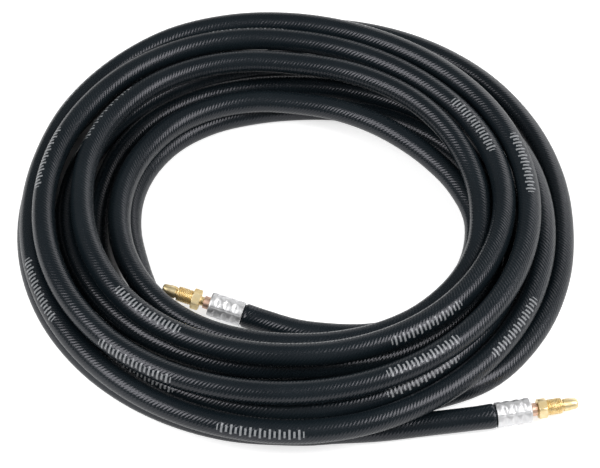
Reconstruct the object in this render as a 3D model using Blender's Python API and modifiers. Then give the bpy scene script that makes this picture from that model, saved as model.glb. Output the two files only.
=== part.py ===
"""Coiled gas-through power cable of a welding torch: a rubber hose over a copper rope, with a crimped fitting at each end.

Metres, +Z up. The coil lies flat on z = 0 and is seen from -Y; the box's bottom centre is the origin.
"""

import math

import bmesh
import bpy
import numpy as np
from mathutils import Vector

OBJECT_NAME = "welding_torch_power_cable"

# Hose and copper rope
HOSE_OD = 0.0140
HOSE_WALL = 0.00225
HOSE_BORE = HOSE_OD - 2 * HOSE_WALL
TUBE_SIDES = 6
CLEARANCE = 0.0003

# Coil: turns lie one pitch apart, the slots count pitches outward from the eye's radius
EYE_RADIUS = 0.0970
TURN_GAP = 0.0008
PITCH = HOSE_OD + TURN_GAP
FLAT_DEPTH = 0.1 * HOSE_OD
FLOOR_AXIS = HOSE_OD / 2 - FLAT_DEPTH
POINTS_PER_TURN = 24
COIL_TURNS = 8.875

# (slot, layer) of each turn at its near side, left, far side and right
TURNS = (
    ((3.86, 0), (4.50, 0), (5.10, 0), (4.58, 0)),
    ((2.62, 0), (1.64, 0), (1.62, 0), (3.35, 0)),
    ((1.50, 0), (0.28, 0), (0.22, 0), (2.00, 0)),
    ((1.40, 1), (2.82, 1), (2.00, 1), (2.55, 1)),
    ((3.45, 1), (3.06, 0), (3.25, 0), (3.70, 1)),
    ((4.50, 1), (4.30, 1), (3.45, 2), (3.06, 2)),
    ((3.37, 2), (3.70, 2), (2.42, 2), (2.04, 2)),
    ((1.55, 2), (2.15, 2), (1.05, 2), (1.10, 1.6)),
    ((0.28, 1), (0.68, 1), (-0.32, 1), (0.92, 0.6)),
    ((-0.96, 0),),
)
# (turn, slot, layer) where a turn bulges, drops quickly or is squeezed between two quarters
BETWEEN = (
    (0.4375, 4.75, 0),
    (0.5625, 5.30, 0),
    (0.625, 5.20, 0),
    (0.6875, 4.86, 0),
    (0.8125, 4.55, 0),
    (0.875, 4.33, 0),
    (0.9375, 3.24, 0),
    (1.125, 1.80, 0),
    (1.375, 2.08, 0),
    (1.625, 2.15, 0),
    (1.875, 2.86, 0),
    (2.1875, 0.20, 0),
    (2.3125, 0.50, 0),
    (2.375, 0.52, 0),
    (2.875, 1.71, 0.5),
    (3.875, 3.12, 1),
    (4.875, 4.12, 1),
    (5.375, 4.37, 1.5),
    (5.4375, 4.04, 1.85),
    (5.5625, 3.13, 2),
    (5.625, 3.02, 2),
    (6.125, 3.80, 2),
    (6.375, 3.42, 2),
    (6.4375, 3.02, 2),
    (6.5625, 2.05, 2),
    (6.625, 1.92, 2),
    (7.125, 1.98, 2),
    (7.3125, 2.32, 2),
    (7.375, 2.18, 2),
    (7.4375, 1.68, 2),
    (7.625, 0.88, 2),
    (7.8125, 1.18, 1.3),
    (7.875, 0.82, 1),
    (8.125, 0.60, 1),
    (8.375, 0.55, 1),
    (8.4375, 0.15, 1),
    (8.5625, -0.45, 1),
    (8.625, -0.36, 1),
    (8.6875, 0.22, 0.8),
    (8.8125, 0.88, 0.3),
    (8.875, 0.34, 0),
)

# Fitting's reach along its axis, measured outward from the hose's cut end
FERRULE_STEP = 0.0004
FERRULE_OD = HOSE_OD + 2 * FERRULE_STEP
FERRULE_WALL = 0.0011
FERRULE_BORE = FERRULE_OD - 2 * FERRULE_WALL
FERRULE_BACK = 0.0194
FERRULE_LIP = 0.0011
FERRULE_ROUND = 0.0012
FERRULE_FRONT = CLEARANCE + FERRULE_LIP
HOSE_SHOULDER = 0.0015
DIMPLE_RINGS = (0.0037, 0.0092, 0.0147)
DIMPLES_PER_RING = 6
DIMPLE_DEPTH = 0.0004
DIMPLE_HALF_LENGTH = 0.0014
DIMPLE_HALF_WIDTH = 0.0026

SLEEVE_OD = HOSE_BORE * math.cos(math.pi / TUBE_SIDES) - 2 * CLEARANCE
SLEEVE_WALL = 0.0010
SLEEVE_BORE = SLEEVE_OD - 2 * SLEEVE_WALL
SLEEVE_BACK = 0.0240
SLEEVE_SHOWN = 0.0036
SLEEVE_FRONT = FERRULE_FRONT + SLEEVE_SHOWN
GAS_PORT_DIA = 0.0024
GAS_PORT_BACK = 0.0076
ROPE_OD = SLEEVE_BORE - 2 * CLEARANCE
ROPE_BACK = 0.0098

SHANK_OD = SLEEVE_BORE - 2 * CLEARANCE
SHANK_WALL = 0.0009
SHANK_BACK = 0.0040
GAS_BORE = SHANK_OD - 2 * SHANK_WALL
NECK_STEP = 0.00025
NECK_OD = SHANK_OD + 2 * NECK_STEP
HEX_ACROSS_FLATS = 0.0111
HEX_LENGTH = 0.0051
HEX_CHAMFER = 0.0006
THREAD_OD = 0.009525
THREAD_LENGTH = 0.0094
THREAD_CHAMFER = 0.0006
GROOVE_OD = 0.0069
GROOVE_LENGTH = 0.0008
NOSE_OD = 0.0074
NOSE_LENGTH = 0.0040
TIP_OD = 0.0068
TIP_END_OD = 0.0052
TIP_LENGTH = 0.0044
NOSE_REACH = HEX_LENGTH + THREAD_LENGTH + GROOVE_LENGTH + NOSE_LENGTH + TIP_LENGTH
TURNED_STEPS = 32

# Ends: (turn, slot) of the connector's tip, the way it points (degrees from +X, and up), the neck left showing
FERRULE_LIFT = 0.0002
END_AXIS = FERRULE_OD / 2 + FERRULE_LIFT
END_STRAIGHT = 0.0300
FRONT_TIP = (-0.1412, 7.75)
FRONT_HEADING = 10.5
FRONT_PITCH = 0.0
FRONT_NECK = 0.0005
FRONT_HEX_ROLL = 12.0
INNER_TIP = (9.1530, -0.06)
INNER_HEADING = 164.5
INNER_PITCH = 9.5
INNER_NECK = 0.0022
INNER_HEX_ROLL = 25.0

# Free run of the hose on the floor between each straight end and the coil: (turn, slot)
FRONT_TAIL = ((-0.0731, 4.584), (-0.0499, 4.185), (-0.0248, 3.897))
INNER_TAIL = ((8.9204, -0.216), (8.9871, -1.111))

# Reach of helper shapes past the material they cut
OVERRUN = 0.0050


def clear_scene():
    for item in list(bpy.data.objects):
        bpy.data.objects.remove(item)


def new_collection(name):
    collection = bpy.data.collections.new(name)
    bpy.context.scene.collection.children.link(collection)
    return collection


def material(name, colour, roughness, metallic):
    made = bpy.data.materials.new(name)
    made.use_nodes = True
    shader = made.node_tree.nodes["Principled BSDF"]
    shader.inputs["Base Color"].default_value = (*colour, 1.0)
    shader.inputs["Roughness"].default_value = roughness
    shader.inputs["Metallic"].default_value = metallic
    made.diffuse_color = (*colour, 1.0)
    return made


def rubber():
    return material("black_rubber", (0.012, 0.013, 0.014), 0.55, 0.0)


def rope_copper():
    return material("bare_copper_rope", (0.62, 0.28, 0.16), 0.40, 1.0)


def sleeve_copper():
    return material("copper_sleeve", (0.62, 0.40, 0.29), 0.35, 1.0)


def ferrule_metal():
    return material("silver_ferrule", (0.80, 0.80, 0.79), 0.30, 1.0)


def fitting_brass():
    return material("turned_brass", (0.80, 0.64, 0.36), 0.28, 1.0)


def empty(name, place, turn, parent, collection):
    made = bpy.data.objects.new(name, None)
    collection.objects.link(made)
    made.location = place
    made.rotation_euler = turn
    made.parent = parent
    return made


def mesh_object(name, mesh, parent, collection):
    made = bpy.data.objects.new(name, mesh)
    collection.objects.link(made)
    made.parent = parent
    return made


def helper_object(name, mesh, parent):
    made = mesh_object(name, mesh, parent, cutters)
    made.hide_render = True
    made.display_type = "WIRE"
    return made


def mesh_from(name, work):
    mesh = bpy.data.meshes.new(name)
    bmesh.ops.recalc_face_normals(work, faces=work.faces)
    work.to_mesh(mesh)
    work.free()
    return mesh


def boolean(target, helper, operation):
    modifier = target.modifiers.new(helper.name, "BOOLEAN")
    modifier.object = helper
    modifier.operation = operation
    modifier.solver = "EXACT"


def smooth(item, angle):
    item.data.shade_smooth()
    item.data.set_sharp_from_angle(angle=math.radians(angle))


# Route of the hose
def stations():
    """(turn, slot, layer) of every place that the coil passes, in order."""
    quarters = [(turn + q / 4, *place) for turn, row in enumerate(TURNS) for q, place in enumerate(row)]
    return sorted(quarters + list(BETWEEN))


def slot_slope(places, i):
    before = places[max(i - 1, 0)]
    after = places[min(i + 1, len(places) - 1)]
    return (after[1] - before[1]) / (after[0] - before[0])


def place_at(turn, slot, height):
    """A point by turn and slot, clockwise from above; turn 0 is at the near side."""
    radius = EYE_RADIUS + PITCH * slot
    angle = -math.pi / 2 - 2 * math.pi * turn
    return Vector((radius * math.cos(angle), radius * math.sin(angle), height))


def coil_point(places, turn):
    i = max(k for k in range(len(places) - 1) if places[k][0] <= turn + 1e-9)
    (turn_a, slot_a, layer_a), (turn_b, slot_b, layer_b) = places[i], places[i + 1]
    width = turn_b - turn_a
    f = (turn - turn_a) / width
    slope_a = slot_slope(places, i) * width
    slope_b = slot_slope(places, i + 1) * width
    rise = slot_b - slot_a
    slot = slot_a + f * (slope_a + f * (3 * rise - 2 * slope_a - slope_b + f * (slope_a + slope_b - 2 * rise)))
    layer = layer_a + (layer_b - layer_a) * (0.5 - 0.5 * math.cos(math.pi * f))
    return place_at(turn, slot, FLOOR_AXIS + PITCH * layer)


def coil_points():
    places = stations()
    count = int(COIL_TURNS * POINTS_PER_TURN)
    return [coil_point(places, i / POINTS_PER_TURN) for i in range(count + 1)]


def end_way(heading, pitch):
    """The direction in which an end points."""
    turn, lift = math.radians(heading), math.radians(pitch)
    return Vector((math.cos(turn) * math.cos(lift), math.sin(turn) * math.cos(lift), math.sin(lift)))


def cut_end(tip, heading, pitch, neck):
    """Place of the hose's cut end: the connector's tip has its turn and slot, the ferrule's back rests."""
    way = end_way(heading, pitch)
    place = place_at(*tip, 0.0) - way * (SLEEVE_FRONT + neck + NOSE_REACH)
    place.z = END_AXIS + FERRULE_BACK * way.z
    return place


def front_end():
    return cut_end(FRONT_TIP, FRONT_HEADING, FRONT_PITCH, FRONT_NECK), end_way(FRONT_HEADING, FRONT_PITCH)


def inner_end():
    return cut_end(INNER_TIP, INNER_HEADING, INNER_PITCH, INNER_NECK), end_way(INNER_HEADING, INNER_PITCH)


def route(end_runs):
    """Points and swells from the front end to the inner one; end_runs lists (distance back, swell)."""
    (front_place, front_way), (inner_place, inner_way) = front_end(), inner_end()
    front = [(front_place - front_way * back, swell) for back, swell in end_runs]
    inner = [(inner_place - inner_way * back, swell) for back, swell in reversed(end_runs)]
    front_tail = [place_at(*spot, FLOOR_AXIS) for spot in FRONT_TAIL]
    inner_tail = [place_at(*spot, FLOOR_AXIS) for spot in INNER_TAIL]
    return front + [(place, 1.0) for place in front_tail + coil_points() + inner_tail] + inner


def tube_mesh(name, points, radius):
    """One unbroken six-sided tube with closed ends."""
    curve = bpy.data.curves.new(name, "CURVE")
    curve.dimensions = "3D"
    curve.twist_mode = "Z_UP"
    curve.bevel_depth = radius
    curve.bevel_resolution = round((TUBE_SIDES - 4) / 2)
    curve.use_fill_caps = True
    spline = curve.splines.new("POLY")
    spline.points.add(len(points) - 1)
    for point, (place, swell) in zip(spline.points, points):
        point.co = (*place, 1.0)
        point.radius = swell
    guide = bpy.data.objects.new(name + "_guide", curve)
    cutters.objects.link(guide)
    graph = bpy.context.evaluated_depsgraph_get()
    mesh = bpy.data.meshes.new_from_object(guide.evaluated_get(graph))
    bpy.data.objects.remove(guide)
    work = bmesh.new()
    work.from_mesh(mesh)
    bmesh.ops.remove_doubles(work, verts=work.verts, dist=1e-6)
    return mesh_from(name, work)


def box_mesh(name, low, high):
    work = bmesh.new()
    bmesh.ops.create_cube(work, size=1.0)
    for vert in work.verts:
        vert.co = Vector(low[i] if vert.co[i] < 0 else high[i] for i in range(3))
    return mesh_from(name, work)


def report_coil(points):
    """Prints the hose's length and the least gap between its strands, measured on the built points."""
    gap_step, same_strand = 0.003, 0.060
    line = np.array([place for place, _ in points])
    steps = np.linalg.norm(np.diff(line, axis=0), axis=1)
    along = np.concatenate([[0.0], np.cumsum(steps)])
    wanted = np.arange(0.0, along[-1], gap_step)
    dense = np.stack([np.interp(wanted, along, line[:, i]) for i in range(3)], axis=1)
    apart = int(same_strand / gap_step)
    least = min(
        float(np.linalg.norm(dense[i + apart:] - dense[i], axis=1).min()) for i in range(len(dense) - apart)
    )
    print(f"hose length {along[-1]:.3f} m, least gap to itself {1000 * (least - HOSE_OD):.2f} mm")


# Hose and rope
def make_hose():
    squeezed = (FERRULE_BORE - 2 * CLEARANCE) / HOSE_OD
    shoulder = FERRULE_BACK + HOSE_SHOULDER
    runs = [(0.0, squeezed), (FERRULE_BACK + CLEARANCE, squeezed), (shoulder, 1.0), (END_STRAIGHT, 1.0)]
    points = route(runs)
    report_coil(points)
    hose = mesh_object("hose", tube_mesh("hose", points, HOSE_OD / 2), root, parts)
    bore = tube_mesh("hose_bore", route([(-OVERRUN, 1.0), (END_STRAIGHT, 1.0)]), HOSE_BORE / 2)
    boolean(hose, helper_object("hose_bore", bore, root), "DIFFERENCE")
    reach = EYE_RADIUS + PITCH * 8
    floor = box_mesh("floor_cut", (-reach, -reach, -HOSE_OD), (reach, reach, 0.0))
    boolean(hose, helper_object("floor_cut", floor, root), "DIFFERENCE")
    hose.data.materials.append(rubber())


def make_conductor():
    points = route([(ROPE_BACK, 1.0), (END_STRAIGHT, 1.0)])
    conductor = mesh_object("conductor", tube_mesh("conductor", points, ROPE_OD / 2), root, parts)
    conductor.data.materials.append(rope_copper())


# Fittings, drawn along local +Z from the hose's cut end
def turned(name, profile, parent, collection):
    """A turned solid: the profile lists (radius, height), top to bottom down its outer side.

    It closes into a ring round a bore, or starts and ends on the axis.
    """
    mesh = bpy.data.meshes.new(name)
    edges = [(i, i + 1) for i in range(len(profile) - 1)]
    if profile[0][0] > 0:
        edges.append((len(profile) - 1, 0))
    mesh.from_pydata([(radius, 0.0, height) for radius, height in profile], edges, [])
    made = mesh_object(name, mesh, parent, collection)
    screw = made.modifiers.new("turn", "SCREW")
    screw.axis = "Z"
    screw.steps = TURNED_STEPS
    screw.render_steps = TURNED_STEPS
    screw.use_merge_vertices = True
    screw.merge_threshold = 0.00001
    screw.use_normal_calculate = True
    screw.use_smooth_shade = False
    return made


def baked(item):
    """The object with its modifiers applied, so that it can be shaded and joined."""
    graph = bpy.context.evaluated_depsgraph_get()
    mesh = bpy.data.meshes.new_from_object(item.evaluated_get(graph))
    work = bmesh.new()
    work.from_mesh(mesh)
    bmesh.ops.remove_doubles(work, verts=work.verts, dist=1e-6)
    item.modifiers.clear()
    item.data = mesh_from(item.name, work)
    return item


def ferrule_profile():
    outer = FERRULE_OD / 2
    lip_bore = SLEEVE_OD / 2 + CLEARANCE
    corner = outer - FERRULE_ROUND
    round_steps = [math.radians(a) for a in (90, 60, 30, 0)]
    front = [
        (corner + FERRULE_ROUND * math.cos(a), FERRULE_FRONT - FERRULE_ROUND * (1 - math.sin(a)))
        for a in round_steps
    ]
    inner = FERRULE_BORE / 2
    back = [(outer, -FERRULE_BACK), (inner, -FERRULE_BACK), (inner, CLEARANCE), (lip_bore, CLEARANCE)]
    return [(lip_bore, FERRULE_FRONT)] + front + back


def dimple_mesh(name):
    """The crimping jaws' noses: rings of flattened balls standing in the ferrule's skin."""
    ball = FERRULE_OD / 2 + DIMPLE_HALF_WIDTH - DIMPLE_DEPTH
    work = bmesh.new()
    for ring in DIMPLE_RINGS:
        for k in range(DIMPLES_PER_RING):
            angle = 2 * math.pi * (k + 0.5) / DIMPLES_PER_RING
            made = bmesh.ops.create_icosphere(work, subdivisions=2, radius=DIMPLE_HALF_WIDTH)
            for vert in made["verts"]:
                vert.co.z *= DIMPLE_HALF_LENGTH / DIMPLE_HALF_WIDTH
                vert.co += Vector((ball * math.cos(angle), ball * math.sin(angle), -ring))
    return mesh_from(name, work)


def make_ferrule(end_name, end):
    ferrule = baked(turned(end_name + "_ferrule", ferrule_profile(), end, parts))
    jaws = helper_object(end_name + "_jaws", dimple_mesh(end_name + "_jaws"), end)
    boolean(ferrule, jaws, "DIFFERENCE")
    smooth(ferrule, 35)
    ferrule.data.materials.append(ferrule_metal())


def rod_mesh(name, radius, length):
    work = bmesh.new()
    bmesh.ops.create_cone(
        work, cap_ends=True, segments=16, radius1=radius, radius2=radius, depth=length
    )
    for vert in work.verts:
        vert.co = Vector((vert.co.z, vert.co.y, -vert.co.x - GAS_PORT_BACK))
    return mesh_from(name, work)


def make_sleeve(end_name, end):
    outer, inner = SLEEVE_OD / 2, SLEEVE_BORE / 2
    profile = [(inner, SLEEVE_FRONT), (outer, SLEEVE_FRONT), (outer, -SLEEVE_BACK), (inner, -SLEEVE_BACK)]
    sleeve = baked(turned(end_name + "_crimp_sleeve", profile, end, parts))
    port = rod_mesh(end_name + "_gas_port", GAS_PORT_DIA / 2, SLEEVE_OD + 2 * OVERRUN)
    boolean(sleeve, helper_object(end_name + "_gas_port", port, end), "DIFFERENCE")
    smooth(sleeve, 35)
    sleeve.data.materials.append(sleeve_copper())


def connector_profile(hex_low):
    """Turned body of the connector, from its tip down to the shank."""
    thread_low = hex_low + HEX_LENGTH
    thread_high = thread_low + THREAD_LENGTH
    nose_low = thread_high + GROOVE_LENGTH
    tip_low = nose_low + NOSE_LENGTH
    tip_high = tip_low + TIP_LENGTH
    tip_mid = (tip_low + tip_high) / 2
    tip_mid_radius = 0.3 * TIP_OD + 0.2 * TIP_END_OD + 0.0003
    thread = THREAD_OD / 2
    return [
        (0.0, tip_high),
        (TIP_END_OD / 2, tip_high),
        (tip_mid_radius, tip_mid),
        (TIP_OD / 2, tip_low),
        (NOSE_OD / 2, tip_low),
        (NOSE_OD / 2, nose_low),
        (GROOVE_OD / 2, nose_low),
        (GROOVE_OD / 2, thread_high),
        (thread - THREAD_CHAMFER, thread_high),
        (thread, thread_high - THREAD_CHAMFER),
        (thread, thread_low - HEX_LENGTH / 2),
        (NECK_OD / 2, thread_low - HEX_LENGTH / 2),
        (NECK_OD / 2, SLEEVE_FRONT + CLEARANCE),
        (SHANK_OD / 2, SLEEVE_FRONT + CLEARANCE),
        (SHANK_OD / 2, -SHANK_BACK),
        (0.0, -SHANK_BACK),
    ]


def hex_mesh(name, hex_low, roll):
    """Hexagon with turned-off corners, round the thread's root and the neck."""
    flat = HEX_ACROSS_FLATS / 2
    corner = flat / math.cos(math.pi / 6)
    rings = (
        (flat - HEX_CHAMFER / 2, hex_low),
        (corner, hex_low + HEX_CHAMFER),
        (corner, hex_low + HEX_LENGTH - HEX_CHAMFER),
        (flat - HEX_CHAMFER / 2, hex_low + HEX_LENGTH),
    )
    work = bmesh.new()
    loops = []
    for radius, height in rings:
        angles = [math.radians(roll + 60 * k) for k in range(6)]
        loops.append([work.verts.new((radius * math.cos(a), radius * math.sin(a), height)) for a in angles])
    for low, high in zip(loops, loops[1:]):
        for k in range(6):
            work.faces.new((low[k], low[(k + 1) % 6], high[(k + 1) % 6], high[k]))
    work.faces.new(reversed(loops[0]))
    work.faces.new(loops[-1])
    return mesh_from(name, work)


def bore_mesh(name, low, high):
    work = bmesh.new()
    made = bmesh.ops.create_cone(
        work, cap_ends=True, segments=TURNED_STEPS, radius1=GAS_BORE / 2, radius2=GAS_BORE / 2, depth=high - low
    )
    for vert in made["verts"]:
        vert.co.z += (low + high) / 2
    return mesh_from(name, work)


def make_connector(end_name, end, neck, roll):
    name = end_name + "_connector"
    hex_low = SLEEVE_FRONT + neck
    profile = connector_profile(hex_low)
    connector = baked(turned(name, profile, end, parts))
    nut = helper_object(end_name + "_hex", hex_mesh(end_name + "_hex", hex_low, roll), end)
    boolean(connector, nut, "UNION")
    through = bore_mesh(end_name + "_gas_bore", -SHANK_BACK - OVERRUN, profile[0][1] + OVERRUN)
    boolean(connector, helper_object(end_name + "_gas_bore", through, end), "DIFFERENCE")
    smooth(connector, 35)
    connector.data.materials.append(fitting_brass())


def make_end(end_name, place, heading, pitch, neck, roll):
    turn = (0.0, math.radians(90 - pitch), math.radians(heading))
    end = empty(end_name + "_end", place, turn, root, parts)
    bpy.context.view_layer.update()
    make_ferrule(end_name, end)
    make_sleeve(end_name, end)
    make_connector(end_name, end, neck, roll)


def centre_on_floor():
    """Moves the whole so that the origin is the bottom centre of its box."""
    bpy.context.view_layer.update()
    graph = bpy.context.evaluated_depsgraph_get()
    corners = []
    for item in parts.objects:
        if item.type == "MESH":
            shape = item.evaluated_get(graph)
            corners += [shape.matrix_world @ vert.co for vert in shape.data.vertices]
    low = [min(c[i] for c in corners) for i in range(3)]
    high = [max(c[i] for c in corners) for i in range(3)]
    root.location = (-(low[0] + high[0]) / 2, -(low[1] + high[1]) / 2, -low[2])


clear_scene()
parts = new_collection(OBJECT_NAME)
cutters = new_collection("cutters")
root = empty(OBJECT_NAME + "_root", (0.0, 0.0, 0.0), (0.0, 0.0, 0.0), None, parts)
make_hose()
make_conductor()
make_end("front", front_end()[0], FRONT_HEADING, FRONT_PITCH, FRONT_NECK, FRONT_HEX_ROLL)
make_end("inner", inner_end()[0], INNER_HEADING, INNER_PITCH, INNER_NECK, INNER_HEX_ROLL)
centre_on_floor()
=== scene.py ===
"""Looks of a coiled welding torch power cable: ribbed hose, crimped ferrules and brass connectors."""

import math

import bpy
from mathutils import Matrix, Vector


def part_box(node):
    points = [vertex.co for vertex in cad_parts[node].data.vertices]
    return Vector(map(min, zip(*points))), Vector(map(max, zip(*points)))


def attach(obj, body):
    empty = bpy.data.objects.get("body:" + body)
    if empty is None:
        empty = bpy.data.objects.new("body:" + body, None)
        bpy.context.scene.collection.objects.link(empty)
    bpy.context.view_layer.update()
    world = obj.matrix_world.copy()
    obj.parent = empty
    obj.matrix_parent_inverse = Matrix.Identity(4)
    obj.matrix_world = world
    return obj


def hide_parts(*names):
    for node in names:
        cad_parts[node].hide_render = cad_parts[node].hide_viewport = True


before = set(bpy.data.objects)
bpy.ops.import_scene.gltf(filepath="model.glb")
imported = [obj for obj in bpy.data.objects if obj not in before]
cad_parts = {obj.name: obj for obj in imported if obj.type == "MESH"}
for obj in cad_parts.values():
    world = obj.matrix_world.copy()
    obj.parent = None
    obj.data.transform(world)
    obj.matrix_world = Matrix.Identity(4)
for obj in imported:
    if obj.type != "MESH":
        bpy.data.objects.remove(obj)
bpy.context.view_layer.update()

# Sizes shared with the part, in metres
HOSE_OD = 0.0140
HOSE_BORE = 0.0095
CLEARANCE = 0.0003
EYE_RADIUS = 0.0970
TURN_GAP = 0.0008
PITCH = HOSE_OD + TURN_GAP
FLAT_DEPTH = 0.1 * HOSE_OD
FLOOR_AXIS = HOSE_OD / 2 - FLAT_DEPTH
POINTS_PER_TURN = 24
COIL_TURNS = 8.875

# (slot, layer) of each turn at its near side, left, far side and right
TURNS = (
    ((3.86, 0), (4.50, 0), (5.10, 0), (4.58, 0)),
    ((2.62, 0), (1.64, 0), (1.62, 0), (3.35, 0)),
    ((1.50, 0), (0.28, 0), (0.22, 0), (2.00, 0)),
    ((1.40, 1), (2.82, 1), (2.00, 1), (2.55, 1)),
    ((3.45, 1), (3.06, 0), (3.25, 0), (3.70, 1)),
    ((4.50, 1), (4.30, 1), (3.45, 2), (3.06, 2)),
    ((3.37, 2), (3.70, 2), (2.42, 2), (2.04, 2)),
    ((1.55, 2), (2.15, 2), (1.05, 2), (1.10, 1.6)),
    ((0.28, 1), (0.68, 1), (-0.32, 1), (0.92, 0.6)),
    ((-0.96, 0),),
)
# (turn, slot, layer) where a turn bulges, drops quickly or is squeezed between two quarters
BETWEEN = (
    (0.4375, 4.75, 0),
    (0.5625, 5.30, 0),
    (0.625, 5.20, 0),
    (0.6875, 4.86, 0),
    (0.8125, 4.55, 0),
    (0.875, 4.33, 0),
    (0.9375, 3.24, 0),
    (1.125, 1.80, 0),
    (1.375, 2.08, 0),
    (1.625, 2.15, 0),
    (1.875, 2.86, 0),
    (2.1875, 0.20, 0),
    (2.3125, 0.50, 0),
    (2.375, 0.52, 0),
    (2.875, 1.71, 0.5),
    (3.875, 3.12, 1),
    (4.875, 4.12, 1),
    (5.375, 4.37, 1.5),
    (5.4375, 4.04, 1.85),
    (5.5625, 3.13, 2),
    (5.625, 3.02, 2),
    (6.125, 3.80, 2),
    (6.375, 3.42, 2),
    (6.4375, 3.02, 2),
    (6.5625, 2.05, 2),
    (6.625, 1.92, 2),
    (7.125, 1.98, 2),
    (7.3125, 2.32, 2),
    (7.375, 2.18, 2),
    (7.4375, 1.68, 2),
    (7.625, 0.88, 2),
    (7.8125, 1.18, 1.3),
    (7.875, 0.82, 1),
    (8.125, 0.60, 1),
    (8.375, 0.55, 1),
    (8.4375, 0.15, 1),
    (8.5625, -0.45, 1),
    (8.625, -0.36, 1),
    (8.6875, 0.22, 0.8),
    (8.8125, 0.88, 0.3),
    (8.875, 0.34, 0),
)

# Fittings, measured outward from the hose's cut end; only the groove is deeper than the part's
FERRULE_OD = 0.0148
FERRULE_BORE = 0.0126
FERRULE_BACK = 0.0194
FERRULE_FRONT = 0.0014
FERRULE_ROUND = 0.0012
DIMPLE_RINGS = (0.0037, 0.0092, 0.0147)
DIMPLES_PER_RING = 6
SLEEVE_OD = 0.00763
SLEEVE_BORE = 0.00563
SLEEVE_BACK = 0.0240
SLEEVE_FRONT = 0.0050
ROPE_OD = 0.00503
ROPE_BACK = 0.0098
GAS_BORE = 0.00323
SHANK_OD = 0.00503
SHANK_BACK = 0.0040
NECK_OD = 0.00553
HEX_ACROSS_FLATS = 0.0111
HEX_LENGTH = 0.0051
THREAD_OD = 0.009525
THREAD_PITCH = 0.0254 / 24
THREAD_DEPTH = 0.00062
THREAD_LENGTH = 0.0094
GROOVE_OD = 0.0062
GROOVE_LENGTH = 0.0008
NOSE_OD = 0.0074
NOSE_LENGTH = 0.0040
TIP_OD = 0.0068
TIP_END_OD = 0.0052
TIP_LENGTH = 0.0044
NOSE_REACH = HEX_LENGTH + THREAD_LENGTH + GROOVE_LENGTH + NOSE_LENGTH + TIP_LENGTH
FERRULE_LIFT = 0.0002
END_AXIS = FERRULE_OD / 2 + FERRULE_LIFT
END_STRAIGHT = 0.0300

# Ends: (turn, slot) of the connector's tip, heading and pitch in degrees, neck left showing
ENDS = {
    "front": ((-0.1412, 7.75), 10.5, 0.0, 0.0005),
    "inner": ((9.1530, -0.06), 164.5, 9.5, 0.0022),
}
# Rolls about the axis in degrees; the ferrules' are as the photo shows them
HEX_ROLL = {"front": 12.0, "inner": 25.0}
FERRULE_ROLL = {"front": -16.0, "inner": 12.0}
# (turn, slot) of the hose between its coil and each straight end
FRONT_TAIL = ((-0.0731, 4.584), (-0.0499, 4.185), (-0.0248, 3.897))
INNER_TAIL = ((8.9204, -0.216), (8.9871, -1.111))

# Fine shapes of the hose and the rope
SHOULDER_LENGTH = 0.0012
SHOULDER_STOPS = (0.0, SHOULDER_LENGTH / 2, SHOULDER_LENGTH, 0.0025)
SWELL_HEIGHT = 0.00025
SWELL_PLACE = 0.0030
SWELL_REACH = 0.0040
ROPE_STRANDS = 7
ROPE_LAY = 0.0900
ROPE_GROOVE = 0.0004

# Fine shapes of the fittings; the dimples are deeper and a little larger than the part's
DIMPLE_DEPTH = 0.00055
DIMPLE_HALF_LENGTH = 0.0015
DIMPLE_HALF_WIDTH = 0.0027
SEAM_DEPTH = 0.00014
SEAM_HALF_WIDTH = 0.00026
SEAM_BACK_MARGIN = 0.0010
SEAM_FRONT_MARGIN = 0.0015
FERRULE_EDGE = 0.0003
SLEEVE_EDGE = 0.00035
CONNECTOR_EDGE = 0.0002
HEX_CHAMFER = 0.0005
HEX_CHAMFER_ANGLE = 30.0
HEX_FACE_SHARE = 0.985
THREAD_FLANK = 1.9
THREAD_ROOT = 0.35
TIP_FULLNESS = 2.2

# Fineness of the drawn surfaces
LINE_PARTS = 8
RING_STEP = 0.0060
RING_LEAST_STEP = 0.0005
HOSE_SIDES = 28
BORE_SIDES = HOSE_SIDES // 2
SIDES_PER_STRAND = 4
TURNED_SIDES = 72
FERRULE_ROWS = 64
ROUND_ROWS = 6
CHAMFER_ROWS = 5
THREAD_ROWS_PER_TURN = 8
TIP_ROWS = 8
SHARP_ANGLE = 40.0
TURN_TOLERANCE = 1e-9

# Marks printed on the hose: groups of bars, long and short by turns
MARK_REPEAT = 0.1720
MARK_OFFSET = 0.0120
MARK_HALF_LENGTH = 0.0245
MARK_HALF_HEIGHT = 0.0030
MARK_BAR_PITCH = 0.0027
MARK_BAR_SOLID = 0.00048
MARK_BAR_CLEAR = 0.00072
MARK_SHORTER_BY = 0.0011
MARK_END_EDGE = 0.0002
MARK_TOP_EDGE = 0.00012
MARK_SWITCH = 0.01

# The hose's own twist in degrees at each mark that shows, by its number; the others are turned down
MARK_STEADY_SHARE = 0.2
MARK_TURNED_DOWN = 150.0
MARK_TWIST = {
    20: 35, 21: 45, 25: 32, 26: 50, 27: 38, 28: 55, 29: 50, 30: 6, 31: 18,
    32: 62, 33: 42, 34: 48, 35: -12, 36: 52, 37: 10, 38: 48,
}

# Cloth ribs and grain of the hose's cover
RIB_PITCH = 0.0022
RIBS_PER_TURN = 16.0
RIB_WANDER = 0.6
RIB_DEPTH = 0.000042
GRAIN_DEPTH = 0.00004

# Tool rings on the brass, in radians per metre along its axis, and how far they wander
TOOL_RING_RATE = 26000.0
TOOL_RING_WANDER = 0.0002
TOOL_RING_DEPTH = 0.00003

# Depth of the small scuffs on the silver and the copper
SCUFF_DEPTH = 0.0001

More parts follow.
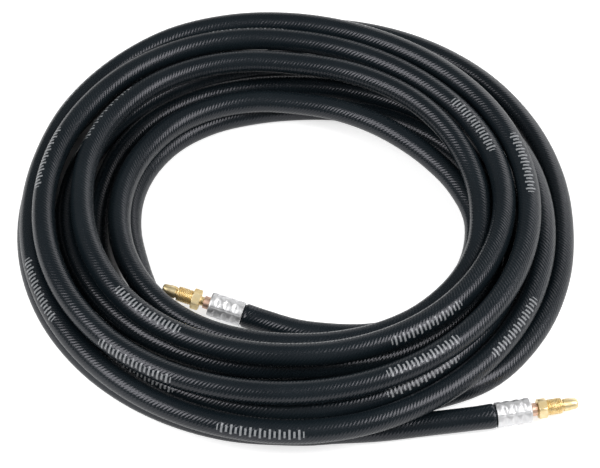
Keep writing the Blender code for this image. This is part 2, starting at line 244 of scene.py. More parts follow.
# Colours
COVER_DARK = (0.0052, 0.0088, 0.0116, 1)
COVER_LIGHT = (0.0076, 0.0120, 0.0152, 1)
COVER_SPECULAR = (0.95, 0.93, 1.0, 1)
MARK_PAINT = (0.27, 0.28, 0.29, 1)
SILVER_DULL = (0.73, 0.73, 0.74, 1)
SILVER_BRIGHT = (0.83, 0.83, 0.84, 1)
BRASS_BRIGHT = (0.96, 0.81, 0.51, 1)
BRASS_DULL = (0.87, 0.68, 0.35, 1)
SLEEVE_BRIGHT = (0.80, 0.55, 0.42, 1)
SLEEVE_DULL = (0.66, 0.45, 0.35, 1)
ROPE_BRIGHT = (0.80, 0.40, 0.24, 1)
ROPE_DULL = (0.55, 0.25, 0.14, 1)
FLOOR_GREY = (0.75, 0.75, 0.75, 1)
WHITE = (1, 1, 1, 1)

# Floor, and how far it is whitened for the camera and in reflections
FLOOR_HALF_SIZE = 6.0
FLOOR_DROP = 0.0002
FLOOR_TO_CAMERA = 0.62
FLOOR_IN_REFLECTIONS = 0.30

# Distances from the coil's middle between which the strands cover the floor, which isn't whitened there
COVERED_FROM = (0.106, 0.112)
COVERED_TO = (0.160, 0.164)
COVERED_SHIFT = (0.0, 0.0065, 0.0)

# Studio: where it glows in reflections, from dim to bright, and its even light
GLOW_DIRECTION = (0.55, 0.75, -0.35)
GLOW_FACING = (0.40, 0.90)
GLOW_LEVELS = (0.15, 1.7)
EVEN_LIGHT = 0.25

# Lamps: a softbox at each side in front, and a small panel beyond the coil at the right
SOFTBOX_PLACE = (1.05, -0.42, 1.12)
SOFTBOX_SIZE = (0.90, 1.05)
SOFTBOX_POWER = 18.0
PANEL_PLACE = (0.42, 0.52, 0.36)
PANEL_AIM = (0.13, 0.0, 0.03)
PANEL_SIZE = (0.45, 0.50)
PANEL_POWER = 0.080
PANEL_SPREAD = 48.0
OPEN_SPREAD = 180.0

# Camera of the photo: looks along +Y, down on the coil's middle
IMAGE_WIDTH = 600
IMAGE_HEIGHT = 468
CAMERA_ELEVATION = 50.0
CAMERA_DISTANCE = 1.555
FOCAL_PIXELS = 2520.0
COIL_CENTRE_PIXEL = (294.5, 235.0)
SENSOR = 36.0


# Route of the hose
def stations():
    quarters = [(turn + q / 4, *place) for turn, row in enumerate(TURNS) for q, place in enumerate(row)]
    return sorted(quarters + list(BETWEEN))


def slot_slope(places, i):
    before = places[max(i - 1, 0)]
    after = places[min(i + 1, len(places) - 1)]
    return (after[1] - before[1]) / (after[0] - before[0])


def place_at(turn, slot, height):
    """A point by turn and slot, clockwise from above; turn 0 is at the near side."""
    radius = EYE_RADIUS + PITCH * slot
    angle = -math.pi / 2 - 2 * math.pi * turn
    return Vector((radius * math.cos(angle), radius * math.sin(angle), height))


def coil_point(places, turn):
    i = max(k for k in range(len(places) - 1) if places[k][0] <= turn + TURN_TOLERANCE)
    (turn_a, slot_a, layer_a), (turn_b, slot_b, layer_b) = places[i], places[i + 1]
    width = turn_b - turn_a
    f = (turn - turn_a) / width
    slope_a = slot_slope(places, i) * width
    slope_b = slot_slope(places, i + 1) * width
    rise = slot_b - slot_a
    square = 3 * rise - 2 * slope_a - slope_b
    cube = slope_a + slope_b - 2 * rise
    slot = slot_a + f * (slope_a + f * (square + f * cube))
    layer = layer_a + (layer_b - layer_a) * (0.5 - 0.5 * math.cos(math.pi * f))
    return place_at(turn, slot, FLOOR_AXIS + PITCH * layer)


def end_way(name):
    """The direction in which an end points."""
    heading, pitch = (math.radians(angle) for angle in ENDS[name][1:3])
    level = math.cos(pitch)
    return Vector((math.cos(heading) * level, math.sin(heading) * level, math.sin(pitch)))


def cut_end(name):
    """Place of the hose's cut end: the connector's tip has its turn and slot, the ferrule's back rests."""
    tip, _, _, neck = ENDS[name]
    way = end_way(name)
    place = place_at(*tip, 0.0) - way * (SLEEVE_FRONT + neck + NOSE_REACH)
    place.z = END_AXIS + FERRULE_BACK * way.z
    return place


def coil_middle():
    """The coil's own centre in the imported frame, from a sleeve whose place on the hose is known."""
    low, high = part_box("front_crimp_sleeve")
    own = cut_end("front") - end_way("front") * (SLEEVE_BACK - SLEEVE_FRONT) / 2
    return Vector(((low.x + high.x) / 2 - own.x, (low.y + high.y) / 2 - own.y, 0.0))


MIDDLE = coil_middle()


def straight_end(name, end_back):
    """Three points of a straight end, from this far back of the hose's cut end inward."""
    backs = (end_back, (end_back + END_STRAIGHT) / 2, END_STRAIGHT)
    return [cut_end(name) - end_way(name) * back for back in backs]


def route(end_back):
    """Control points from the front end to the inner one, from this far back of the hose's cut ends."""
    places = stations()
    count = int(COIL_TURNS * POINTS_PER_TURN)
    points = straight_end("front", end_back)
    points += [place_at(*spot, FLOOR_AXIS) for spot in FRONT_TAIL]
    points += [coil_point(places, i / POINTS_PER_TURN) for i in range(count + 1)]
    points += [place_at(*spot, FLOOR_AXIS) for spot in INNER_TAIL]
    points += straight_end("inner", end_back)[::-1]
    return [p + MIDDLE for p in points]


def smooth_line(points):
    """A Catmull-Rom line through the points."""
    p = [2 * points[0] - points[1], *points, 2 * points[-1] - points[-2]]
    line = []
    for i in range(1, len(p) - 2):
        for k in range(LINE_PARTS):
            f = k / LINE_PARTS
            line.append(
                0.5 * (
                    2 * p[i]
                    + (p[i + 1] - p[i - 1]) * f
                    + (2 * p[i - 1] - 5 * p[i] + 4 * p[i + 1] - p[i + 2]) * f**2
                    + (3 * p[i] - p[i - 1] - 3 * p[i + 1] + p[i + 2]) * f**3
                )
            )
    return line + [points[-1]]


def even_line(points, step):
    """The line again, with points the same distance apart."""
    lengths = [(b - a).length for a, b in zip(points, points[1:])]
    count = round(sum(lengths) / step)
    spacing = sum(lengths) / count
    line = [points[0]]
    passed = 0.0
    for a, b, length in zip(points, points[1:], lengths):
        while len(line) < count and passed + length >= len(line) * spacing:
            line.append(a.lerp(b, (len(line) * spacing - passed) / length))
        passed += length
    return line + [points[-1]], spacing


def frames_along(line):
    """For each point: the way up across the tube, and the way out from the coil."""
    ups, outs = [], []
    for i in range(len(line)):
        along = (line[min(i + 1, len(line) - 1)] - line[max(i - 1, 0)]).normalized()
        out = Vector((0, 0, 1)).cross(along).normalized()
        outs.append(out)
        ups.append(along.cross(out))
    return ups, outs


# Mesh helpers
def mesh_piece(name, verts, faces, material, uvs=None):
    mesh = bpy.data.meshes.new(name)
    mesh.from_pydata(verts, [], faces)
    if uvs:
        layer = mesh.uv_layers.new(name="along_and_around")
        layer.uv.foreach_set("vector", [value for pair in uvs for value in pair])
    mesh.update()
    mesh.shade_smooth()
    mesh.set_sharp_from_angle(angle=math.radians(SHARP_ANGLE))
    mesh.materials.append(material)
    piece = bpy.data.objects.new(name, mesh)
    bpy.context.scene.collection.objects.link(piece)
    return piece


def ring_faces(first, second, sides):
    """Quads between two rings of vertices, given by their first indices."""
    return [(first + k, first + (k + 1) % sides, second + (k + 1) % sides, second + k) for k in range(sides)]


# Hose and rope
def hose_radius(along, length):
    """The hose is squeezed inside each ferrule and swells a little just behind it."""
    back = min(along, length - along)
    squeezed = FERRULE_BORE / 2 - CLEARANCE
    full = HOSE_OD / 2
    if back < FERRULE_BACK + CLEARANCE:
        return squeezed
    past = back - FERRULE_BACK - CLEARANCE
    swell = SWELL_HEIGHT * math.exp(-((past - SWELL_PLACE) / SWELL_REACH) ** 2)
    return squeezed + (full - squeezed) * min(1.0, past / SHOULDER_LENGTH) + swell


def end_stops(length):
    """Extra distances along the hose, so that the squeezed ends have crisp shoulders."""
    backs = [FERRULE_BACK + CLEARANCE + extra for extra in SHOULDER_STOPS]
    return sorted(backs + [length - back for back in backs])


def hose_line():
    """Points of the hose's centre line with their distances along it."""
    line, spacing = even_line(smooth_line(route(0.0)), RING_STEP)
    length = spacing * (len(line) - 1)
    stops = [i * spacing for i in range(len(line))]
    for extra in end_stops(length):
        stops = [s for s in stops if s in (0.0, length) or abs(s - extra) > RING_LEAST_STEP] + [extra]
    stops.sort()
    placed = []
    for stop in stops:
        i = min(int(stop / spacing), len(line) - 2)
        placed.append(line[i].lerp(line[i + 1], stop / spacing - i))
    return placed, stops


def twist_at(along):
    """The hose's twist at a distance along it, in turns: steady over each mark, eased between."""
    count = (along - MARK_OFFSET) / MARK_REPEAT
    first = math.floor(count)
    f = (count - first - MARK_STEADY_SHARE) / (1 - 2 * MARK_STEADY_SHARE)
    f = min(1.0, max(0.0, f))
    before, after = (MARK_TWIST.get(mark, MARK_TURNED_DOWN) for mark in (first, first + 1))
    return (before + (after - before) * f * f * (3 - 2 * f)) / 360


def tube_points(line, radii, sides):
    """Rings of points round a line, each from its underside."""
    points = []
    for centre, up, out, radius in zip(line, *frames_along(line), radii):
        for k in range(sides):
            angle = -math.pi + 2 * math.pi * k / sides
            points.append(centre + radius * (math.cos(angle) * up + math.sin(angle) * out))
    return points


def skin_faces(stops):
    """Faces of the hose's outside, with the distance along and the turn around at their corners."""
    twists = [twist_at(along) for along in stops]
    faces, uvs = [], []
    for i in range(len(stops) - 1):
        for k, face in enumerate(ring_faces(i * HOSE_SIDES, (i + 1) * HOSE_SIDES, HOSE_SIDES)):
            faces.append(face)
            corners = ((i, k), (i, k + 1), (i + 1, k + 1), (i + 1, k))
            uvs += [(stops[ring], side / HOSE_SIDES - 0.5 - twists[ring]) for ring, side in corners]
    return faces, uvs


def bore_faces(first, stops):
    """Faces of the hose's bore, turned inward, with a turn around that is away from the marks."""
    faces, uvs = [], []
    for i in range(len(stops) - 1):
        ring = first + i * BORE_SIDES
        for face in ring_faces(ring, ring + BORE_SIDES, BORE_SIDES):
            faces.append(face[::-1])
            uvs += [(stops[i], 0.5)] * len(face)
    return faces, uvs


def cap_faces(outer, inner, flip):
    """Faces across the hose's wall at one end: two sides of the outside to each side of the bore."""
    faces, uvs = [], []
    for k in range(BORE_SIDES):
        ring = [outer + (2 * k + j) % HOSE_SIDES for j in (0, 1, 2)]
        face = [*ring[::-1], inner + k, inner + (k + 1) % BORE_SIDES]
        faces.append(face[::-1] if flip else face)
        uvs += [(0.0, 0.5)] * len(face)
    return faces, uvs


def make_hose(material):
    line, stops = hose_line()
    length = stops[-1]
    skin = tube_points(line, [hose_radius(along, length) for along in stops], HOSE_SIDES)
    for point in skin:
        point.z = max(point.z, 0.0)
    verts = skin + tube_points(line, [HOSE_BORE / 2] * len(line), BORE_SIDES)
    surfaces = (
        skin_faces(stops),
        bore_faces(len(skin), stops),
        cap_faces(0, len(skin), flip=False),
        cap_faces(len(skin) - HOSE_SIDES, len(verts) - BORE_SIDES, flip=True),
    )
    faces = [face for made, _ in surfaces for face in made]
    uvs = [pair for _, made in surfaces for pair in made]
    hose = mesh_piece("rubber_hose", verts, faces, material, uvs)
    return hose, line, length


def make_rope(material):
    """Stranded copper rope in the hose's bore: strands laid in a slow twist."""
    line, spacing = even_line(smooth_line(route(ROPE_BACK)), RING_STEP)
    ups, outs = frames_along(line)
    sides = SIDES_PER_STRAND * ROPE_STRANDS
    verts, faces = [], []
    for i, (centre, up, out) in enumerate(zip(line, ups, outs)):
        twist = 2 * math.pi * i * spacing / ROPE_LAY
        for k in range(sides):
            angle = 2 * math.pi * k / sides
            radius = ROPE_OD / 2 - ROPE_GROOVE * (1 - abs(math.sin(ROPE_STRANDS * angle / 2)))
            verts.append(centre + radius * (math.cos(angle + twist) * up + math.sin(angle + twist) * out))
    for i in range(len(line) - 1):
        faces += ring_faces(i * sides, (i + 1) * sides, sides)
    faces.append(tuple(range(sides))[::-1])
    faces.append(tuple(range(len(verts) - sides, len(verts))))
    rope = mesh_piece("copper_rope", verts, faces, material)
    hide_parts("conductor")
    return rope


# Turned pieces, drawn along local +Z from the hose's cut end
def end_matrix(name):
    heading, pitch = (math.radians(angle) for angle in ENDS[name][1:3])
    place = Matrix.Translation(cut_end(name) + MIDDLE)
    return place @ Matrix.Rotation(heading, 4, "Z") @ Matrix.Rotation(math.pi / 2 - pitch, 4, "Y")


def turned_piece(name, rows, sides, material, matrix):
    """A closed turned shape: each row has a height and a radius by angle; the last row joins the first."""
    verts, faces = [], []
    for height, radius_at in rows:
        for k in range(sides):
            angle = 2 * math.pi * k / sides
            radius = radius_at(angle)
            verts.append(Vector((radius * math.cos(angle), radius * math.sin(angle), height)))
    for i in range(len(rows)):
        faces += ring_faces(i * sides, (i + 1) % len(rows) * sides, sides)
    piece = mesh_piece(name, verts, faces, material)
    piece.matrix_world = matrix
    return piece


def plain(radius):
    return lambda angle: radius


def ferrule_skin(height, roll):
    """Radius of the ferrule's outside at a height: jaw dimples and the lines between the jaws."""
    step = 2 * math.pi / DIMPLES_PER_RING

    def radius_at(angle):
        off = ((angle - roll) % step) - step / 2
        across = off * FERRULE_OD / 2
        radius = FERRULE_OD / 2
        for ring in DIMPLE_RINGS:
            reach = ((height + ring) / DIMPLE_HALF_LENGTH) ** 2 + (across / DIMPLE_HALF_WIDTH) ** 2
            radius -= DIMPLE_DEPTH * math.exp(-reach ** 2)
        if -FERRULE_BACK + SEAM_BACK_MARGIN < height < FERRULE_FRONT - SEAM_FRONT_MARGIN:
            seam = (abs(off) - step / 2) * FERRULE_OD / 2
            radius -= SEAM_DEPTH * math.exp(-(seam / SEAM_HALF_WIDTH) ** 2)
        return radius

    return radius_at


def make_ferrule(name, node, matrix, roll, material):
    outer, inner = FERRULE_OD / 2, FERRULE_BORE / 2
    corner = outer - FERRULE_ROUND
    lip_bore = SLEEVE_OD / 2 + CLEARANCE
    edge = FERRULE_EDGE
    rows = [(-FERRULE_BACK, plain(inner + edge)), (-FERRULE_BACK, plain(outer - edge))]
    low, high = -FERRULE_BACK + edge, FERRULE_FRONT - FERRULE_ROUND
    for i in range(FERRULE_ROWS + 1):
        height = low + (high - low) * i / FERRULE_ROWS
        rows.append((height, ferrule_skin(height, math.radians(roll))))
    for k in range(1, ROUND_ROWS + 1):
        angle = math.radians(90 * k / ROUND_ROWS)
        radius = corner + FERRULE_ROUND * math.cos(angle)
        rows.append((FERRULE_FRONT - FERRULE_ROUND * (1 - math.sin(angle)), plain(radius)))
    rows += [
        (FERRULE_FRONT, plain(lip_bore + edge)),
        (FERRULE_FRONT - edge, plain(lip_bore)),
        (CLEARANCE, plain(lip_bore)),
        (CLEARANCE, plain(inner)),
        (-FERRULE_BACK + edge, plain(inner)),
    ]
    piece = turned_piece(name, rows, 2 * TURNED_SIDES, material, matrix)
    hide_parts(node)
    return piece


def make_sleeve(name, node, matrix, material):
    outer, inner, edge = SLEEVE_OD / 2, SLEEVE_BORE / 2, SLEEVE_EDGE
    rows = [
        (-SLEEVE_BACK, plain(inner)),
        (-SLEEVE_BACK, plain(outer - edge)),
        (-SLEEVE_BACK + edge, plain(outer)),
    ]
    for k in range(ROUND_ROWS + 1):
        angle = math.radians(90 * k / ROUND_ROWS)
        radius = outer - edge * (1 - math.cos(angle))
        rows.append((SLEEVE_FRONT - edge * (1 - math.sin(angle)), plain(radius)))
    rows += [(SLEEVE_FRONT, plain(inner + edge)), (SLEEVE_FRONT - edge, plain(inner))]
    piece = turned_piece(name, rows, TURNED_SIDES, material, matrix)
    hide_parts(node)
    return piece


def hex_radius(height, low, high, roll):
    """Radius of the hexagon at a height, its corners turned off at both faces."""
    flat = HEX_ACROSS_FLATS / 2
    slope = 1 / math.tan(math.radians(HEX_CHAMFER_ANGLE))
    limit = flat * HEX_FACE_SHARE + slope * min(height - low, high - height)

    def radius_at(angle):
        off = (angle - math.radians(roll) - math.pi / 6) % (math.pi / 3) - math.pi / 6
        return min(flat / math.cos(off), limit)

    return radius_at


def thread_radius(height, low, high):
    """Radius of a right-hand screw thread at a height, running out at both ends."""
    fade = min(1.0, (height - low) / THREAD_PITCH, (high - height) / THREAD_PITCH)

    def radius_at(angle):
        turn = (height / THREAD_PITCH - angle / (2 * math.pi)) % 1.0
        ridge = min(1.0, max(0.0, THREAD_FLANK * abs(2 * turn - 1) - THREAD_ROOT))
        return THREAD_OD / 2 - THREAD_DEPTH * (1 - ridge * max(fade, 0.0))

    return radius_at


def hex_rows(low, high, roll):
    chamfer = [HEX_CHAMFER * k / CHAMFER_ROWS for k in range(CHAMFER_ROWS + 1)]
    heights = [low + c for c in chamfer] + [high - c for c in reversed(chamfer)]
    return [(height, hex_radius(height, low, high, roll)) for height in heights]


def thread_rows(low, high):
    """Rows of the screw thread, from its root at the hexagon."""
    count = round(THREAD_LENGTH / THREAD_PITCH * THREAD_ROWS_PER_TURN)
    rows = [(low, plain(THREAD_OD / 2 - THREAD_DEPTH))]
    for i in range(1, count + 1):
        height = low + (THREAD_LENGTH - CONNECTOR_EDGE) * i / count
        rows.append((height, thread_radius(height, low, high)))
    return rows


def nose_rows(groove_low):
    """Rows of the groove, the nose and its rounded tip, as far as the edge of the gas bore."""
    edge = CONNECTOR_EDGE
    nose_low = groove_low + GROOVE_LENGTH
    tip_low = nose_low + NOSE_LENGTH
    tip_high = tip_low + TIP_LENGTH
    rows = [
        (groove_low, plain(GROOVE_OD / 2 + edge)),
        (groove_low + edge, plain(GROOVE_OD / 2)),
        (nose_low, plain(GROOVE_OD / 2)),
        (nose_low, plain(NOSE_OD / 2 - edge)),
        (nose_low + edge, plain(NOSE_OD / 2)),
        (tip_low - edge, plain(NOSE_OD / 2)),
        (tip_low, plain(NOSE_OD / 2 - edge)),
    ]
    for k in range(TIP_ROWS + 1):
        f = k / TIP_ROWS
        rounding = math.sqrt(max(0.0, 1 - f**TIP_FULLNESS))
        radius = TIP_END_OD / 2 + (TIP_OD - TIP_END_OD) / 2 * rounding
        rows.append((tip_low + f * (TIP_LENGTH - edge), plain(radius)))
    return rows + [
        (tip_high, plain(TIP_END_OD / 2 - edge)),
        (tip_high, plain(GAS_BORE / 2 + edge)),
        (tip_high - edge, plain(GAS_BORE / 2)),
    ]


def make_connector(name, node, matrix, neck, roll, material):
    hex_low = SLEEVE_FRONT + neck
    hex_high = hex_low + HEX_LENGTH
    thread_high = hex_high + THREAD_LENGTH
    collar = SLEEVE_FRONT + CLEARANCE
    rows = [
        (-SHANK_BACK, plain(GAS_BORE / 2)),
        (-SHANK_BACK, plain(SHANK_OD / 2)),
        (collar, plain(SHANK_OD / 2)),
        (collar, plain(NECK_OD / 2)),
        (hex_low, plain(NECK_OD / 2)),
    ]
    rows += hex_rows(hex_low, hex_high, roll)
    rows += thread_rows(hex_high, thread_high)
    rows += nose_rows(thread_high)
    piece = turned_piece(name, rows, TURNED_SIDES, material, matrix)
    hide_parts(node)
    return piece


# Materials
class Graph:
    """Short calls for building a material's nodes."""

    def __init__(self, name):
        self.material = bpy.data.materials.new(name)
        self.material.use_nodes = True
        self.tree = self.material.node_tree
        self.shader = self.tree.nodes["Principled BSDF"]

    def node(self, kind, **settings):
        made = self.tree.nodes.new(kind)
        for key, value in settings.items():
            setattr(made, key, value)
        return made

    def plug(self, socket, value):
        if isinstance(value, bpy.types.NodeSocket):
            self.tree.links.new(value, socket)
        else:
            socket.default_value = value

    def math(self, operation, a, b=0.0):
        made = self.node("ShaderNodeMath", operation=operation)
        self.plug(made.inputs[0], a)
        self.plug(made.inputs[1], b)
        return made.outputs[0]

    def ramp(self, value, low, high, to_low=0.0, to_high=1.0):
        made = self.node("ShaderNodeMapRange", interpolation_type="SMOOTHSTEP")
        for socket, v in zip(made.inputs, (value, low, high, to_low, to_high)):
            self.plug(socket, v)
        return made.outputs[0]

    def noise(self, vector, scale, detail=2.0):
        made = self.node("ShaderNodeTexNoise")
        self.plug(made.inputs["Vector"], vector)
        made.inputs["Scale"].default_value = scale
        made.inputs["Detail"].default_value = detail
        return made.outputs["Fac"]

    def mix(self, factor, a, b):
        made = self.node("ShaderNodeMix", data_type="RGBA")
        self.plug(made.inputs[0], factor)
        self.plug(made.inputs[6], a)
        self.plug(made.inputs[7], b)
        return made.outputs[2]

    def bump(self, height, strength, distance, normal=None):
        made = self.node("ShaderNodeBump")
        made.inputs["Strength"].default_value = strength
        made.inputs["Distance"].default_value = distance
        self.plug(made.inputs["Height"], height)
        if normal is not None:
            self.plug(made.inputs["Normal"], normal)
        return made.outputs["Normal"]

    def set(self, **values):
        for key, value in values.items():
            self.plug(self.shader.inputs[key.replace("_", " ")], value)


def object_place(graph):
    return graph.node("ShaderNodeTexCoord").outputs["Object"]


def mark_mask(graph, along, around):
    """Groups of plain bars, long and short by turns, repeated along the hose."""
    count = graph.math("DIVIDE", graph.math("SUBTRACT", along, MARK_OFFSET), MARK_REPEAT)
    cell = graph.math("FRACT", graph.math("ADD", count, 0.5))
    place = graph.math("MULTIPLY", graph.math("SUBTRACT", cell, 0.5), MARK_REPEAT)
    height = graph.math("ABSOLUTE", graph.math("MULTIPLY", around, math.pi * HOSE_OD))
    within = graph.ramp(graph.math("ABSOLUTE", place), MARK_HALF_LENGTH, MARK_HALF_LENGTH - MARK_END_EDGE)
    bar = graph.ramp(graph.math("PINGPONG", place, MARK_BAR_PITCH / 2), MARK_BAR_CLEAR, MARK_BAR_SOLID)
    by_turns = graph.math("PINGPONG", place, MARK_BAR_PITCH)
    short = graph.ramp(by_turns, MARK_BAR_PITCH * (0.5 - MARK_SWITCH), MARK_BAR_PITCH * (0.5 + MARK_SWITCH))
    reach = graph.math("SUBTRACT", MARK_HALF_HEIGHT, graph.math("MULTIPLY", short, MARK_SHORTER_BY))
    tall = graph.ramp(graph.math("SUBTRACT", height, reach), MARK_TOP_EDGE, -MARK_TOP_EDGE)
    return graph.math("MULTIPLY", within, graph.math("MULTIPLY", bar, tall))


def rubber():
    """Black hose cover: slanting cloth ribs, a cloudy tone and pale printed bars."""
    g = Graph("ribbed_rubber")
    split = g.node("ShaderNodeSeparateXYZ")
    g.plug(split.inputs[0], g.node("ShaderNodeUVMap", uv_map="along_and_around").outputs[0])
    along, around = split.outputs[0], split.outputs[1]
    place = object_place(g)
    wander = g.math("MULTIPLY", g.noise(place, scale=260.0), RIB_WANDER)
    slant = g.math("SUBTRACT", g.math("DIVIDE", along, RIB_PITCH), g.math("MULTIPLY", around, RIBS_PER_TURN))
    ribs = g.math("SINE", g.math("MULTIPLY", g.math("ADD", slant, wander), 2 * math.pi))
    grain = g.noise(place, scale=1800.0, detail=3.0)
    cloudy = g.noise(place, scale=22.0, detail=3.0)
    wear = g.ramp(grain, 0.22, 0.42, to_low=0.55, to_high=0.95)
    worn = g.math("MULTIPLY", mark_mask(g, along, around), wear)
    cover = g.mix(g.ramp(cloudy, 0.35, 0.70), COVER_DARK, COVER_LIGHT)
    g.set(Base_Color=g.mix(worn, cover, MARK_PAINT))
    g.set(Roughness=g.ramp(grain, 0.2, 0.8, to_low=0.23, to_high=0.31))
    g.set(Specular_IOR_Level=0.42, Specular_Tint=COVER_SPECULAR)
    ribbed = g.bump(ribs, strength=1.0, distance=RIB_DEPTH)
    g.set(Normal=g.bump(grain, strength=0.25, distance=GRAIN_DEPTH, normal=ribbed))
    return g.material


def silver():
    """Bright pressed ferrule with a cloudy tone and small scuffs."""
    g = Graph("pressed_silver")
    place = object_place(g)
    scuff = g.noise(place, scale=420.0, detail=4.0)
    cloudy = g.noise(place, scale=130.0)
    g.set(Base_Color=g.mix(g.ramp(cloudy, 0.3, 0.7), SILVER_DULL, SILVER_BRIGHT))
    g.set(Metallic=1.0, Roughness=g.ramp(scuff, 0.3, 0.7, to_low=0.44, to_high=0.56))
    g.set(Normal=g.bump(scuff, strength=0.12, distance=SCUFF_DEPTH))
    return g.material


def copper(name, bright, dull):
    """Copper with patches where it has dulled."""
    g = Graph(name)
    place = object_place(g)
    patches = g.noise(place, scale=240.0, detail=3.0)
    scuff = g.noise(place, scale=900.0, detail=3.0)
    g.set(Base_Color=g.mix(g.ramp(patches, 0.35, 0.65), bright, dull))
    g.set(Metallic=1.0, Roughness=g.ramp(scuff, 0.3, 0.7, to_low=0.42, to_high=0.56))
    g.set(Normal=g.bump(scuff, strength=0.10, distance=SCUFF_DEPTH))
    return g.material


def brass():
    """Turned brass: fine tool rings round the axis and a little tarnish."""
    g = Graph("turned_brass_fitting")
    split = g.node("ShaderNodeSeparateXYZ")
    place = object_place(g)
    g.plug(split.inputs[0], place)
    wander = g.math("MULTIPLY", g.noise(place, scale=300.0), TOOL_RING_WANDER)
    rings = g.math("SINE", g.math("MULTIPLY", g.math("ADD", split.outputs[2], wander), TOOL_RING_RATE))
    tarnish = g.noise(place, scale=330.0, detail=3.0)
    g.set(Base_Color=g.mix(g.ramp(tarnish, 0.30, 0.72), BRASS_BRIGHT, BRASS_DULL))
    g.set(Metallic=1.0, Roughness=g.ramp(tarnish, 0.2, 0.8, to_low=0.38, to_high=0.50))
    g.set(Normal=g.bump(rings, strength=0.10, distance=TOOL_RING_DEPTH))
    return g.material


# Stage
def distance_from(graph, middle):
    made = graph.node("ShaderNodeVectorMath", operation="DISTANCE")
    graph.plug(made.inputs[0], object_place(graph))
    made.inputs[1].default_value = middle
    return made.outputs["Value"]


def floor_material():
    """Pale floor that takes shadows, whitened to the camera and in reflections, but not under the coil."""
    g = Graph("white_floor")
    g.set(Base_Color=FLOOR_GREY, Roughness=0.9, Specular_IOR_Level=0.0, Emission_Color=WHITE)
    path = g.node("ShaderNodeLightPath")
    mirrored = g.math("MAXIMUM", path.outputs["Is Glossy Ray"], path.outputs["Is Transmission Ray"])
    to_camera = g.math("MULTIPLY", path.outputs["Is Camera Ray"], FLOOR_TO_CAMERA)
    seen = g.math("MAXIMUM", to_camera, g.math("MULTIPLY", mirrored, FLOOR_IN_REFLECTIONS))
    past_eye = g.ramp(distance_from(g, MIDDLE), *COVERED_FROM)
    past_coil = g.ramp(distance_from(g, MIDDLE + Vector(COVERED_SHIFT)), *COVERED_TO)
    open_floor = g.math("SUBTRACT", 1.0, g.math("SUBTRACT", past_eye, past_coil))
    g.set(Emission_Strength=g.math("MULTIPLY", seen, open_floor))
    return g.material


def make_floor():
    size = FLOOR_HALF_SIZE
    verts = [(-size, -size, 0), (size, -size, 0), (size, size, 0), (-size, size, 0)]
    mesh = bpy.data.meshes.new("floor")
    mesh.from_pydata(verts, [], [(0, 1, 2, 3)])
    mesh.materials.append(floor_material())
    floor = bpy.data.objects.new("floor", mesh)
    floor.location.z = -FLOOR_DROP
    bpy.context.scene.collection.objects.link(floor)


def make_world():
    """A studio that glows low at the far right in reflections, is dim elsewhere and white to the camera."""
    world = bpy.data.worlds.new("studio")
    world.use_nodes = True
    nodes, links = world.node_tree.nodes, world.node_tree.links
    way = nodes.new("ShaderNodeTexCoord")
    facing = nodes.new("ShaderNodeVectorMath")
    facing.operation = "DOT_PRODUCT"
    facing.inputs[1].default_value = GLOW_DIRECTION
    links.new(way.outputs["Generated"], facing.inputs[0])
    glow = nodes.new("ShaderNodeMapRange")
    for socket, value in zip(glow.inputs[1:5], (*GLOW_FACING, *GLOW_LEVELS)):
        socket.default_value = value
    links.new(facing.outputs["Value"], glow.inputs[0])
    path = nodes.new("ShaderNodeLightPath")
    level = nodes.new("ShaderNodeMix")
    level.inputs["A"].default_value = EVEN_LIGHT
    links.new(path.outputs["Is Glossy Ray"], level.inputs["Factor"])
    links.new(glow.outputs[0], level.inputs["B"])
    seen = nodes.new("ShaderNodeMath")
    seen.operation = "MAXIMUM"
    links.new(path.outputs["Is Camera Ray"], seen.inputs[0])
    links.new(level.outputs[0], seen.inputs[1])
    background = nodes["Background"]
    background.inputs["Color"].default_value = WHITE
    links.new(seen.outputs[0], background.inputs["Strength"])
    bpy.context.scene.world = world


def area_light(name, place, size, power, aim=(0, 0, 0), spread=OPEN_SPREAD):
    light = bpy.data.lights.new(name, "AREA")
    light.shape = "RECTANGLE"
    light.size, light.size_y = size
    light.energy = power
    light.spread = math.radians(spread)
    made = bpy.data.objects.new(name, light)
    made.location = place
    made.rotation_euler = (Vector(aim) - Vector(place)).to_track_quat("-Z", "Y").to_euler()
    bpy.context.scene.collection.objects.link(made)


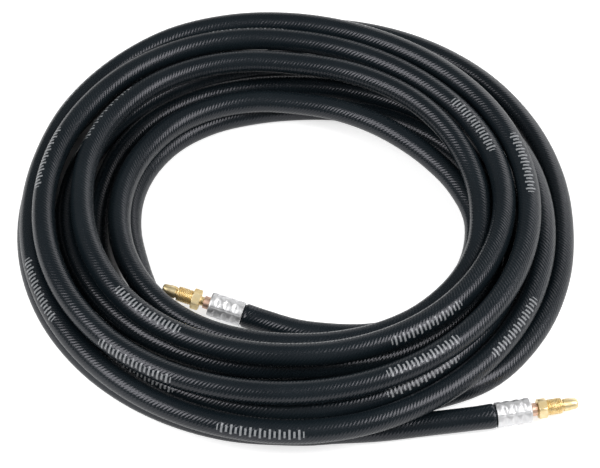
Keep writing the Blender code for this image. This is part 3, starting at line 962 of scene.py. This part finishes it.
def make_lights():
    x, y, z = SOFTBOX_PLACE
    for side in (-1, 1):
        area_light("front_softbox", (x * side, y, z), SOFTBOX_SIZE, SOFTBOX_POWER)
    area_light("far_panel", PANEL_PLACE, PANEL_SIZE, PANEL_POWER, aim=PANEL_AIM, spread=PANEL_SPREAD)


def make_camera():
    data = bpy.data.cameras.new("camera")
    data.sensor_width = SENSOR
    data.lens = FOCAL_PIXELS / IMAGE_WIDTH * SENSOR
    data.shift_x = (IMAGE_WIDTH / 2 - COIL_CENTRE_PIXEL[0]) / IMAGE_WIDTH
    data.shift_y = (COIL_CENTRE_PIXEL[1] - IMAGE_HEIGHT / 2) / IMAGE_WIDTH
    tilt = math.radians(CAMERA_ELEVATION)
    camera = bpy.data.objects.new("camera", data)
    camera.location = MIDDLE + CAMERA_DISTANCE * Vector((0, -math.cos(tilt), math.sin(tilt)))
    camera.rotation_euler = (math.pi / 2 - tilt, 0, 0)
    bpy.context.scene.collection.objects.link(camera)
    bpy.context.scene.camera = camera


def make_end(end, metals):
    """The three pieces of an end's fitting."""
    matrix = end_matrix(end)
    neck = ENDS[end][3]
    turned, rolled = FERRULE_ROLL[end], HEX_ROLL[end]
    return [
        make_ferrule(end + "_pressed_ferrule", end + "_ferrule", matrix, turned, metals["silver"]),
        make_sleeve(end + "_copper_band", end + "_crimp_sleeve", matrix, metals["copper"]),
        make_connector(end + "_screw_connector", end + "_connector", matrix, neck, rolled, metals["brass"]),
    ]


make_camera()
metals = {
    "silver": silver(),
    "copper": copper("dulled_copper", SLEEVE_BRIGHT, SLEEVE_DULL),
    "brass": brass(),
}
hose, line, length = make_hose(rubber())
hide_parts("hose")
rope = make_rope(copper("copper_strands", ROPE_BRIGHT, ROPE_DULL))
fittings = make_end("front", metals) + make_end("inner", metals)
slots = ("silver_ferrule", "copper_sleeve", "turned_brass")
for piece, slot in zip([hose, rope, *fittings], ("black_rubber", "bare_copper_rope", *slots, *slots)):
    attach(piece, "root")
make_floor()
make_world()
make_lights()
bpy.context.scene.view_settings.view_transform = "Standard"
